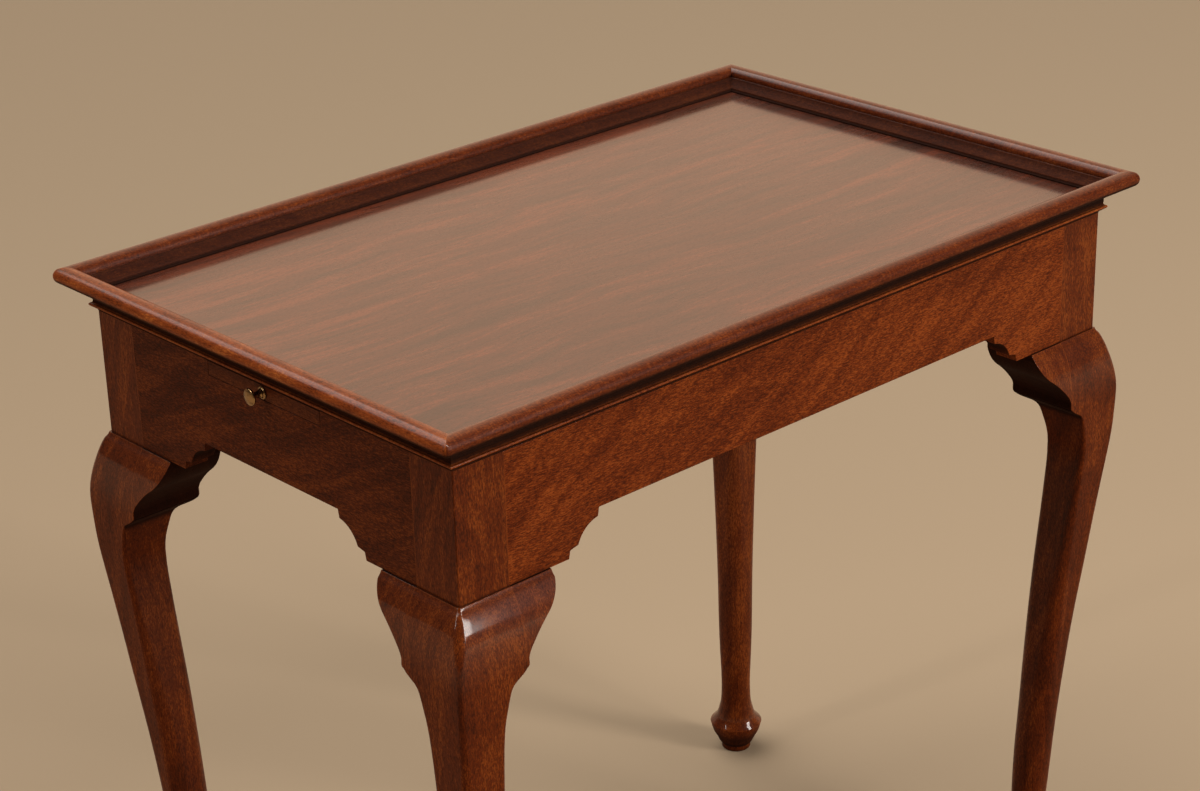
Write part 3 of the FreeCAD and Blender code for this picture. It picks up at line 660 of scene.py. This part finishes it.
MITRE_ALIGNMENT = 0.999
FREE_CORNER = math.radians(18)
QUARTER_TURN = math.radians(90)
ARRIS_POINTS = 3
STATIONS, STATION_CROWDING = 33, 3.0
NO_LENGTH = 1e-7

# The radius of each moulding's outer corner in plan.
CORNER_RADIUS = {"tray_rim": 4.0 * MM, "lip_moulding": 0.0}


def mitre_section(node):
    """The outline of the mitre face at the -X end of a front moulding, as closed
    edges of (0, inset from the side's outer line, height), with its arrises marked."""
    skin = skin_of(node)
    corner = Vector((cad_low[0], cad_low[1], 0))
    out_of_mitre = (Y - X).normalized()
    face = max(skin.faces, key=lambda f: (f.normal.dot(out_of_mitre) > MITRE_ALIGNMENT) * f.calc_area())
    outline = [vertex.co - corner for vertex in face.verts]
    points = [Vector((0, point.y, point.z)) for point in outline]
    skin.free()
    mesh = bpy.data.meshes.new(node + "_section")
    count = len(points)
    mesh.from_pydata(points, [(i, (i + 1) % count) for i in range(count)], [])
    arris = mesh.attributes.new("arris", "FLOAT", "POINT")
    for i, point in enumerate(points):
        before = point - points[i - 1]
        after = points[(i + 1) % count] - point
        arris.data[i].value = 1.0 if before.angle(after, 0.0) > FREE_CORNER else 0.0
    return mesh


SWEEP_INPUTS = {
    "Section": "NodeSocketGeometry",
    "Length": "NodeSocketFloat",
    "Reach": "NodeSocketFloat",
    "Arris Radius": "NodeSocketFloat",
    "Corner Radius": "NodeSocketFloat",
    "Stations": "NodeSocketInt",
    "Turn": "NodeSocketFloat",
    "Finish": "NodeSocketMaterial",
}


def moulding_sweep():
    """Sweeps a section along X between two mitres, rounds its outer corners over
    in plan, and turns it to its side of the table."""
    tree = bpy.data.node_groups.new("moulding_sweep", "GeometryNodeTree")
    sockets = {}
    for label, kind in SWEEP_INPUTS.items():
        sockets[label] = tree.interface.new_socket(label, in_out="INPUT", socket_type=kind).identifier
    tree.interface.new_socket("Moulding", in_out="OUTPUT", socket_type="NodeSocketGeometry")
    given = tree.nodes.new("NodeGroupInput").outputs

    def made(kind, inputs, settings=None):
        return put(tree, kind, settings, inputs).outputs[0]

    def sum_of(first, second):
        return maths(tree, "ADD", first, second)

    def less(first, second):
        return maths(tree, "SUBTRACT", first, second)

    def times(first, second):
        return maths(tree, "MULTIPLY", first, second)

    def larger(first, second):
        return maths(tree, "MAXIMUM", first, second)

    def stored(geometry, name, value):
        return made("GeometryNodeStoreNamedAttribute", {"Geometry": geometry, "Name": name, "Value": value})

    def read_back(name):
        return made("GeometryNodeInputNamedAttribute", {"Name": name})

    loop = made("GeometryNodeMeshToCurve", {"Mesh": given["Section"]})
    loop = made("GeometryNodeFilletCurve", {
        "Curve": loop, "Count": ARRIS_POINTS, "Limit Radius": True,
        "Radius": times(read_back("arris"), given["Arris Radius"])}, {"mode": "POLY"})
    position = made("GeometryNodeInputPosition", {})
    place = put(tree, "ShaderNodeSeparateXYZ", None, {0: position}).outputs
    section = stored(stored(loop, "inset", place["Y"]), "height", place["Z"])

    # the stations crowd towards both ends, where the corners are rounded
    path = made("GeometryNodeCurvePrimitiveLine", {"Start": -X, "End": X})
    path = made("GeometryNodeResampleCurve", {"Curve": path, "Count": given["Stations"]})
    from_tip = less(1.0, maths(tree, "ABSOLUTE", place["X"]))
    crowded = less(1.0, maths(tree, "POWER", from_tip, STATION_CROWDING))
    path = stored(path, "along", times(maths(tree, "SIGN", place["X"]), crowded))

    bar = made("GeometryNodeCurveToMesh", {"Curve": path, "Profile Curve": section, "Fill Caps": True})
    inset, along = read_back("inset"), read_back("along")
    half = times(given["Length"], 0.5)
    end_gap = less(half, times(maths(tree, "ABSOLUTE", along), less(half, inset)))

    # where both outer lines are nearer than the corner radius, the square corner
    # of the plan becomes round
    from_end = larger(less(given["Corner Radius"], end_gap), 0.0)
    from_side = larger(less(given["Corner Radius"], inset), 0.0)
    diagonal = maths(tree, "SQRT", sum_of(times(from_end, from_end), times(from_side, from_side)))
    drawn_in = less(1.0, maths(tree, "DIVIDE", larger(from_end, from_side), larger(diagonal, NO_LENGTH)))
    end_gap = sum_of(end_gap, times(times(drawn_in, from_end), maths(tree, "GREATER_THAN", from_side, 0.0)))
    side_gap = sum_of(inset, times(times(drawn_in, from_side), maths(tree, "GREATER_THAN", from_end, 0.0)))

    spot = made("ShaderNodeCombineXYZ", {
        "X": times(maths(tree, "SIGN", along), less(half, end_gap)),
        "Y": less(side_gap, given["Reach"]), "Z": read_back("height")})
    bar = made("GeometryNodeSetPosition", {"Geometry": bar, "Position": spot})
    turn = made("ShaderNodeCombineXYZ", {"Z": given["Turn"]})
    bar = made("GeometryNodeTransform", {"Geometry": bar, "Rotation": turn})
    bar = made("GeometryNodeRealizeInstances", {"Geometry": bar})
    bar = made("GeometryNodeSetMaterial", {"Geometry": bar, "Material": given["Finish"]})
    tree.links.new(bar, tree.nodes.new("NodeGroupOutput").inputs[0])
    return tree, sockets


def swept_moulding(kind, side, section, sweep):
    """One moulding, the kind's section swept along a side of the tray."""
    tree, sockets = sweep
    span = Vector(cad_high) - Vector(cad_low)
    length, reach = (span.x, span.y / 2) if side in LONG_SIDES else (span.y, span.x / 2)
    name = "%s_%s_wood" % (kind, side)
    piece = new_object(name, section.copy())
    modifier = piece.modifiers.new("sweep", "NODES")
    modifier.node_group = tree
    settings = {
        "Length": length,
        "Reach": reach,
        "Arris Radius": EASES["mahogany_rim"],
        "Corner Radius": CORNER_RADIUS[kind],
        "Stations": STATIONS,
        "Turn": QUARTER_TURN * SIDES.index(side),
        "Finish": finish_of("%s_%s" % (kind, side)),
    }
    for label, value in settings.items():
        modifier[sockets[label]] = value
    made_plain(piece)
    skin = bmesh.new()
    skin.from_mesh(piece.data)
    bmesh.ops.remove_doubles(skin, verts=skin.verts, dist=WELD)
    bmesh.ops.recalc_face_normals(skin, faces=skin.faces)
    piece.data = bare_mesh(name, skin)
    for face in piece.data.polygons:
        face.use_smooth = len(face.vertices) == 4
    return true_faces(piece)


# ----------------------------------------------------------- grain and painted shade

# Every board is sawn a little off the log's own lines, and this far from the last.
SAWN_OFF = Euler((0.05, 0.03, 0.015)).to_matrix()
LOG_STEP = Vector((0.83, 0.291, 0.173))

# A bracket's face is a sawn edge, which gets painted shade, where its cosine with the front is less.
SAWN_FACING = 0.35

# Painted shade: the rim's outside is painted darker from its belly to its neck.
# The cove, what lies inside the ledge and above its own foot, is painted darker too, and so is the lip
# behind its nose.
BELLY, NECK = cad_high[2] - 10.7 * MM, cad_high[2] - 13.9 * MM
LEDGE_INSET, COVE_FOOT = 17.4 * MM, cad_high[2] - 14.5 * MM
COVE_SHADE = 0.72
LIP_NOSE_INSET, LIP_HOLLOW_INSET = 19.7 * MM, 20.8 * MM


def grain_of(node):
    """The directions along and across the grain of a board."""
    if node.startswith(("leg", "knee")):
        return Z, X if node.endswith("long") else Y
    if node.startswith(("tray_rim", "lip_moulding", "rail")):
        return X if node.endswith(LONG_SIDES) else Y, Z
    if node.startswith("slide_facing"):
        return Y, Z
    return X, Y


def lay_grain(piece, along, across, start):
    """Writes every point's place in its board: along the grain, across, deep.
    start is where in the log the board was cut."""
    deep = along.cross(across)
    mesh = piece.data
    places = []
    for vertex in mesh.vertices:
        local = Vector((vertex.co.dot(along), vertex.co.dot(across), vertex.co.dot(deep)))
        places.extend(SAWN_OFF @ local + start)
    attribute = mesh.attributes.new("grain", "FLOAT_VECTOR", "POINT")
    attribute.data.foreach_set("vector", places)


def share_between(low, high, value):
    return min(max((value - low) / (high - low), 0.0), 1.0)


def moulding_shade(kind, point):
    """How much painted shade a point of a moulding gets: 0 on what stands out, 1 in the hollows."""
    inset = min(
        point.x - cad_low[0], cad_high[0] - point.x,
        point.y - cad_low[1], cad_high[1] - point.y)
    if kind == "lip_moulding":
        return share_between(LIP_NOSE_INSET, LIP_HOLLOW_INSET, inset)
    if inset > LEDGE_INSET and point.z > COVE_FOOT:
        return COVE_SHADE
    return share_between(BELLY, NECK, point.z)


def mark_painted_shade(piece, kind, face_out):
    """Marks the hollows of a moulding, or the sawn edge of a knee bracket, for painted shade."""
    mesh = piece.data
    if kind.startswith("knee"):
        domain = "FACE"
        shade_depths = [float(abs(face.normal.dot(face_out)) < SAWN_FACING) for face in mesh.polygons]
    else:
        domain = "POINT"
        shade_depths = [moulding_shade(kind, vertex.co) for vertex in mesh.vertices]
    mesh.attributes.new("painted_shade", "FLOAT", domain).data.foreach_set("value", shade_depths)


# ------------------------------------------------------------------- assembling

def give_finish(thing, node):
    thing.data.materials.clear()
    thing.data.materials.append(finish_of(node))


def dress_wood():
    """Makes the pieces that stand for the frame's polished nodes."""
    surfaces = surfaces_by_node()
    sweep = moulding_sweep()
    sections = {kind: mitre_section(kind + "_front") for kind in CORNER_RADIUS}
    for index, node in enumerate(sorted(NODE_SLOTS)):
        slot = NODE_SLOTS[node]
        if slot not in EASES:
            continue
        kind, side = node.rsplit("_", 1)
        if kind in sections:
            piece = swept_moulding(kind, side, sections[kind], sweep)
        else:
            piece = eased(node, surfaces)
        along, across = grain_of(node)
        lay_grain(piece, along, across, LOG_STEP * index)
        if kind in sections or kind.startswith("knee"):
            mark_painted_shade(piece, kind, along.cross(across))
        give_finish(piece, node)
        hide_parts(node)
        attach(piece, NODE_BODIES[node])


def dress_frame_nodes():
    """The parts that keep the frame's own mesh get their finish in its slots."""
    for node, slot in NODE_SLOTS.items():
        if slot in EASES:
            continue
        shape = frame["nodes"][node]
        give_finish(shape, node)


dress_wood()
dress_frame_nodes()


# ------------------------------------------------------------------ the studio

FLOOR_COLOUR = (0.42, 0.31, 0.205, 1)
FLOOR_HALF_WIDTH = 14.0
WALL_COLOUR = (0.74, 0.66, 0.56, 1)
MIRRORED_COLOUR = (0.84, 0.54, 0.36, 1)
FILL_COLOUR, FILL_STRENGTH = (1.0, 0.93, 0.85, 1), 0.06
LAMP_COLOUR = (1, 0.96, 0.9)
LAMP_AIM = Vector((0.0, 0.0, 0.5))

# The mirrored room is this dim in front and brightens towards its far corner,
# from one cosine of the angle to that corner to another.
DIM_FRONT = 0.08
FAR_CORNER = (X + Y).normalized()
ROOM_BRIGHTENS = (0.15, 0.85)


def lay_floor():
    half = FLOOR_HALF_WIDTH
    mesh = bpy.data.meshes.new("studio_floor")
    corners = [(-half, -half, 0), (half, -half, 0), (half, half, 0), (-half, half, 0)]
    mesh.from_pydata(corners, [], [(0, 1, 2, 3)])
    floor = new_object("studio_floor", mesh)
    material, tree, shader = new_material("pale_floor")
    feed(tree, shader, {"Base Color": FLOOR_COLOUR, "Roughness": 0.9, "Specular IOR Level": 0.2})
    mesh.materials.append(material)


def light_world():
    """A pale wall all round for the eye, a warmer one for reflections that is dim
    on the side of the room the table faces, and a soft fill light."""
    world = bpy.data.worlds.new("studio")
    bpy.context.scene.world = world
    world.use_nodes = True
    tree = world.node_tree
    tree.nodes.clear()

    def background(colour, strength):
        return put(tree, "ShaderNodeBackground", None, {"Color": colour, "Strength": strength}).outputs[0]

    def either(share, usual, other):
        return put(tree, "ShaderNodeMixShader", None, {0: share, 1: usual, 2: other}).outputs[0]

    path = put(tree, "ShaderNodeLightPath").outputs
    mirrored = maths(tree, "MAXIMUM", path["Is Glossy Ray"], path["Is Transmission Ray"])
    direction = put(tree, "ShaderNodeTexCoord").outputs["Generated"]
    backward = vector_maths(tree, "DOT_PRODUCT", direction, FAR_CORNER)
    wall = background(WALL_COLOUR, 1.0)
    far_wall = background(MIRRORED_COLOUR, ramped(tree, backward, *ROOM_BRIGHTENS, DIM_FRONT, 1.0))
    fill = background(FILL_COLOUR, FILL_STRENGTH)
    shown = either(path["Is Camera Ray"], either(mirrored, fill, far_wall), wall)
    put(tree, "ShaderNodeOutputWorld", None, {"Surface": shown})


def hang_lamp(lamp, heading, rise, distance):
    """Hangs a lamp so many degrees round from +X and up from the level, and so
    many metres off, turned towards the table."""
    turn, lift = math.radians(heading), math.radians(rise)
    outward = Vector((math.cos(turn) * math.cos(lift), math.sin(turn) * math.cos(lift), math.sin(lift)))
    box = new_object(lamp.name, lamp)
    box.location = LAMP_AIM + outward * distance
    box.rotation_euler = (-outward).to_track_quat("-Z", "Y").to_euler()


def new_lamp(name, kind, power):
    lamp = bpy.data.lights.new(name, kind)
    lamp.energy = power
    lamp.color = LAMP_COLOUR
    return lamp


def softbox(name, width, height, power):
    lamp = new_lamp(name, "AREA", power)
    lamp.shape = "RECTANGLE"
    lamp.size = width
    lamp.size_y = height
    return lamp


def broad_sky(name, strength, spread):
    """A lamp as wide as a large ceiling, so far off that the whole floor is even."""
    lamp = new_lamp(name, "SUN", strength)
    lamp.angle = math.radians(spread)
    return lamp


# The camera's place, its turn from +Y, its dip below the level and its roll in
# degrees, and its lens.
CAMERA_PLACE = Vector((-1.3293, -1.4355, 1.3836))
CAMERA_HEADING, CAMERA_DIP, CAMERA_ROLL = 42.368, 23.471, -1.625
FOCAL_LENGTH, SENSOR_WIDTH = 80.77, 36.0


def set_camera():
    heading, dip, roll = (math.radians(turn) for turn in (CAMERA_HEADING, CAMERA_DIP, CAMERA_ROLL))
    forward = Vector((math.sin(heading) * math.cos(dip), math.cos(heading) * math.cos(dip), -math.sin(dip)))
    level = Vector((math.cos(heading), -math.sin(heading), 0))
    upright = level.cross(forward)
    right = math.cos(roll) * level + math.sin(roll) * upright
    up = -math.sin(roll) * level + math.cos(roll) * upright
    lens = bpy.data.cameras.new("camera")
    lens.lens = FOCAL_LENGTH
    lens.sensor_width = SENSOR_WIDTH
    camera = new_object("camera", lens)
    camera.rotation_mode = "QUATERNION"
    camera.rotation_quaternion = Matrix((right, up, -forward)).transposed().to_quaternion()
    camera.location = CAMERA_PLACE
    bpy.context.scene.camera = camera


def hang_lamps():
    ceiling = broad_sky("ceiling", strength=2.3, spread=66.0)
    hang_lamp(ceiling, heading=115.0, rise=66.0, distance=3.0)
    key_strip = softbox("key_strip", width=1.20, height=3.6, power=212.0)
    hang_lamp(key_strip, heading=294.5, rise=20.5, distance=6.0)
    high_strip = softbox("high_strip", width=0.36, height=1.2, power=26.0)
    hang_lamp(high_strip, heading=286.0, rise=55.0, distance=3.0)
    left_strip = softbox("left_strip", width=0.14, height=1.6, power=11.0)
    hang_lamp(left_strip, heading=165.0, rise=30.0, distance=3.0)


lay_floor()
light_world()
hang_lamps()
set_camera()

bpy.context.scene.view_settings.view_transform = "Standard"
